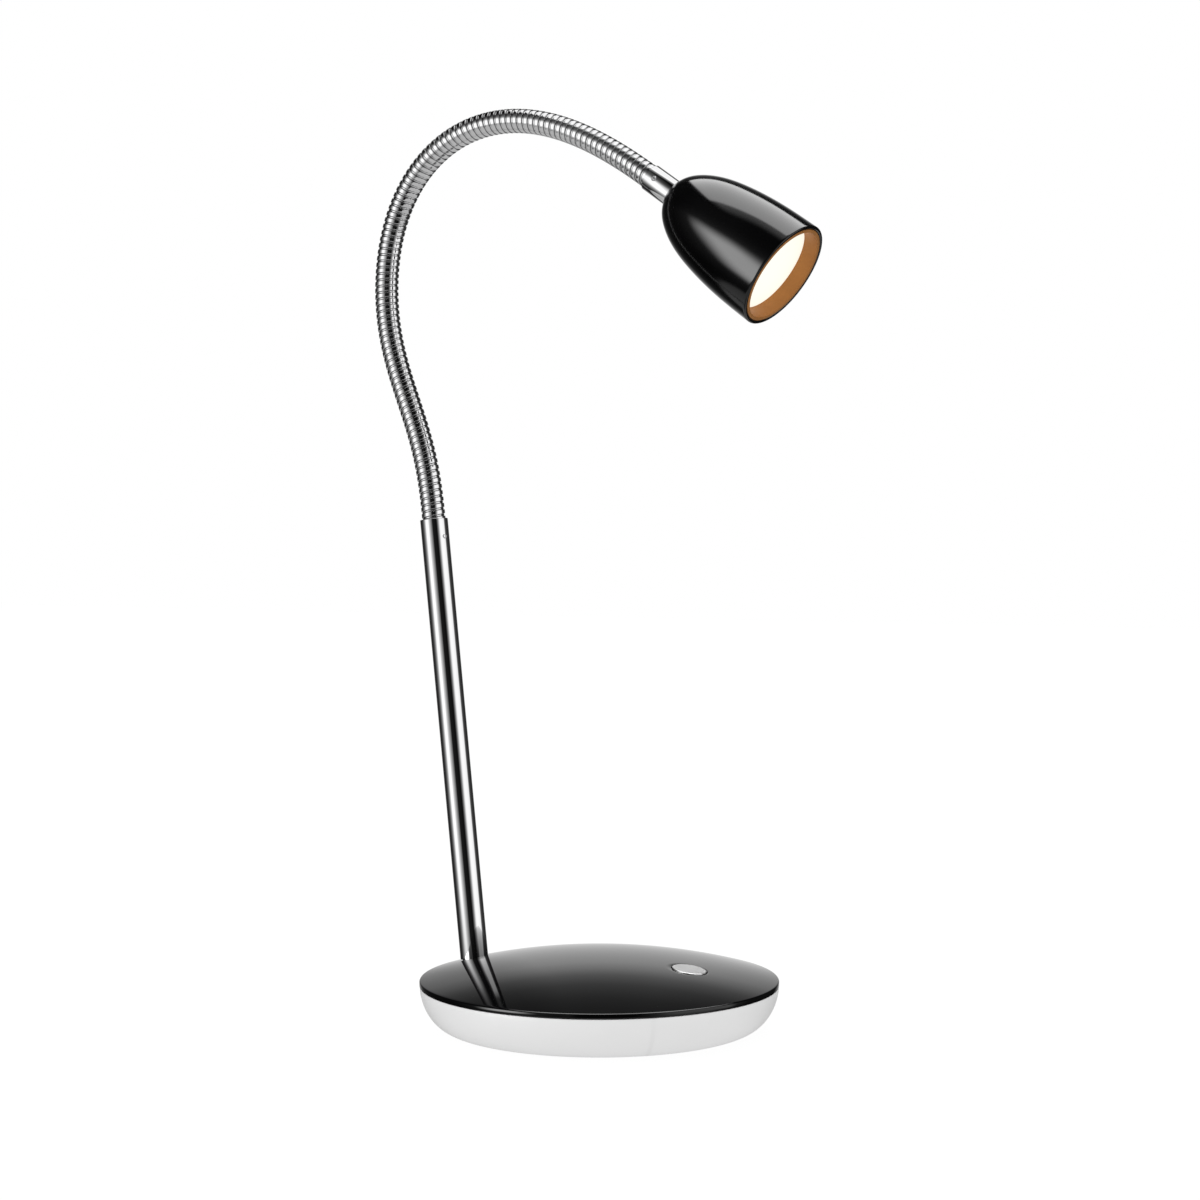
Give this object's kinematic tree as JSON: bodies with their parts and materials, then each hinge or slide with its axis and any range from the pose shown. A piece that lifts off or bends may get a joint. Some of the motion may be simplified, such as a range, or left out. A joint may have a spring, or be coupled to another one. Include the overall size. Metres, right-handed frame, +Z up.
{
  "type": "gooseneck desk lamp",
  "caption": "Desk lamp with a weighted domed round base, push button, leaning chromed stem, flexible ridged neck and a small tulip shade.",
  "frame": {"origin": "centre of the foot pad's underside, on the table", "axes": "+Z up; the arm bends in the XZ plane with the stem on the -X side and the shade towards +X"},
  "size_m": [0.2072, 0.15, 0.3847],
  "materials": {
    "black_gloss": "gloss",
    "white_satin": "satin",
    "ballast": "matte",
    "pad": "matte",
    "chrome": "polished",
    "satin_metal": "satin",
    "zinc": "satin",
    "lead": "matte",
    "grey_plastic": "matte",
    "copper_band": "satin",
    "opal": "satin",
    "bare_aluminium": "satin",
    "board": "satin"
  },
  "bodies": {
    "base": {"base_cover": "black_gloss", "base_bowl": "white_satin", "base_weight": "ballast", "foot_pad": "pad", "cord_gland": "pad", "terminal_block": "grey_plastic", "switch_body": "grey_plastic", "stem_tube": "chrome", "stem_plug": "zinc", "stem_washer": "zinc", "stem_nut": "zinc", "neck_foot": "chrome", "supply_lead": "lead", "base_lead": "lead", "switch_lead": "lead"},
    "button": {"push_button": "satin_metal"},
    "link_01": {"neck_link_01": "chrome"},
    "link_02": {"neck_link_02": "chrome"},
    "link_03": {"neck_link_03": "chrome"},
    "link_04": {"neck_link_04": "chrome"},
    "link_05": {"neck_link_05": "chrome"},
    "link_06": {"neck_link_06": "chrome"},
    "link_07": {"neck_link_07": "chrome"},
    "link_08": {"neck_link_08": "chrome"},
    "link_09": {"neck_link_09": "chrome"},
    "link_10": {"neck_link_10": "chrome"},
    "link_11": {"neck_link_11": "chrome"},
    "link_12": {"neck_link_12": "chrome"},
    "link_13": {"neck_link_13": "chrome"},
    "link_14": {"neck_link_14": "chrome"},
    "link_15": {"neck_link_15": "chrome"},
    "link_16": {"neck_link_16": "chrome"},
    "link_17": {"neck_link_17": "chrome"},
    "link_18": {"neck_link_18": "chrome"},
    "link_19": {"neck_link_19": "chrome"},
    "link_20": {"neck_link_20": "chrome"},
    "head": {"neck_tail": "chrome", "ferrule": "chrome", "head_nipple": "zinc", "head_nut": "zinc", "shade": "black_gloss", "inner_ring": "copper_band", "diffuser": "opal", "heat_sink": "bare_aluminium", "led_board": "board"}
  },
  "joints": [
    {"name": "button_press", "type": "slide", "parent": "base", "child": "button", "axis": [-0.1552, 0, -0.9879], "range_m": [0, 0.0015], "stiffness_N_per_m": 1500, "springref_m": -0.0005},
    {"name": "neck_tilt_01", "type": "hinge", "parent": "base", "child": "link_01", "pos_m": [-0.08168, 0, 0.21588], "axis": [0, 1, 0], "range_deg": [-7, 7], "deforming": ["supply_lead"]},
    {"name": "neck_pan_01", "type": "hinge", "parent": "link_01", "child": "link_02", "pos_m": [-0.0837, 0, 0.22937], "axis": [-0.9827, 0, -0.1852], "range_deg": [-7, 7], "deforming": ["supply_lead"]},
    {"name": "neck_tilt_02", "type": "hinge", "parent": "link_02", "child": "link_03", "pos_m": [-0.08687, 0, 0.24263], "axis": [0, 1, 0], "range_deg": [-7, 7], "deforming": ["supply_lead"]},
    {"name": "neck_pan_02", "type": "hinge", "parent": "link_03", "child": "link_04", "pos_m": [-0.09122, 0, 0.25555], "axis": [-0.9375, 0, -0.3479], "range_deg": [-7, 7], "deforming": ["supply_lead"]},
    {"name": "neck_tilt_03", "type": "hinge", "parent": "link_04", "child": "link_05", "pos_m": [-0.09607, 0, 0.2683], "axis": [0, 1, 0], "range_deg": [-7, 7], "deforming": ["supply_lead"]},
    {"name": "neck_pan_03", "type": "hinge", "parent": "link_05", "child": "link_06", "pos_m": [-0.10053, 0, 0.28119], "axis": [-0.9568, 0, -0.2907], "range_deg": [-7, 7], "deforming": ["supply_lead"]},
    {"name": "neck_tilt_04", "type": "hinge", "parent": "link_06", "child": "link_07", "pos_m": [-0.10373, 0, 0.29444], "axis": [0, 1, 0], "range_deg": [-7, 7], "deforming": ["supply_lead"]},
    {"name": "neck_pan_04", "type": "hinge", "parent": "link_07", "child": "link_08", "pos_m": [-0.10512, 0, 0.308], "axis": [-0.9995, 0, -0.0327], "range_deg": [-7, 7], "deforming": ["supply_lead"]},
    {"name": "neck_tilt_05", "type": "hinge", "parent": "link_08", "child": "link_09", "pos_m": [-0.10461, 0, 0.32161], "axis": [0, 1, 0], "range_deg": [-7, 7], "deforming": ["supply_lead"]},
    {"name": "neck_pan_05", "type": "hinge", "parent": "link_09", "child": "link_10", "pos_m": [-0.10207, 0, 0.335], "axis": [-0.9634, 0, 0.268], "range_deg": [-7, 7], "deforming": ["supply_lead"]},
    {"name": "neck_tilt_06", "type": "hinge", "parent": "link_10", "child": "link_11", "pos_m": [-0.09721, 0, 0.34772], "axis": [0, 1, 0], "range_deg": [-7, 7], "deforming": ["supply_lead"]},
    {"name": "neck_pan_06", "type": "hinge", "parent": "link_11", "child": "link_12", "pos_m": [-0.08981, 0, 0.35915], "axis": [-0.7725, 0, 0.6351], "range_deg": [-7, 7], "deforming": ["supply_lead"]},
    {"name": "neck_tilt_07", "type": "hinge", "parent": "link_12", "child": "link_13", "pos_m": [-0.07997, 0, 0.36854], "axis": [0, 1, 0], "range_deg": [-7, 7], "deforming": ["supply_lead"]},
    {"name": "neck_pan_07", "type": "hinge", "parent": "link_13", "child": "link_14", "pos_m": [-0.06812, 0, 0.37523], "axis": [-0.3803, 0, 0.9249], "range_deg": [-7, 7], "deforming": ["supply_lead"]},
    {"name": "neck_tilt_08", "type": "hinge", "parent": "link_14", "child": "link_15", "pos_m": [-0.05501, 0, 0.37887], "axis": [0, 1, 0], "range_deg": [-7, 7], "deforming": ["supply_lead"]},
    {"name": "neck_pan_08", "type": "hinge", "parent": "link_15", "child": "link_16", "pos_m": [-0.04141, 0, 0.3795], "axis": [0.0554, 0, 0.9985], "range_deg": [-7, 7], "deforming": ["supply_lead"]},
    {"name": "neck_tilt_09", "type": "hinge", "parent": "link_16", "child": "link_17", "pos_m": [-0.02793, 0, 0.37752], "axis": [0, 1, 0], "range_deg": [-7, 7], "deforming": ["supply_lead"]},
    {"name": "neck_pan_09", "type": "hinge", "parent": "link_17", "child": "link_18", "pos_m": [-0.01492, 0, 0.37346], "axis": [0.361, 0, 0.9326], "range_deg": [-7, 7], "deforming": ["supply_lead"]},
    {"name": "neck_tilt_10", "type": "hinge", "parent": "link_18", "child": "link_19", "pos_m": [-0.0025, 0, 0.36784], "axis": [0, 1, 0], "range_deg": [-7, 7], "deforming": ["supply_lead"]},
    {"name": "neck_pan_10", "type": "hinge", "parent": "link_19", "child": "link_20", "pos_m": [0.00936, 0, 0.3611], "axis": [0.5258, 0, 0.8506], "range_deg": [-7, 7], "deforming": ["supply_lead"]},
    {"name": "neck_tilt_11", "type": "hinge", "parent": "link_20", "child": "head", "pos_m": [0.02074, 0, 0.35359], "axis": [0, 1, 0], "range_deg": [-7, 7], "deforming": ["supply_lead"]}
  ]
}
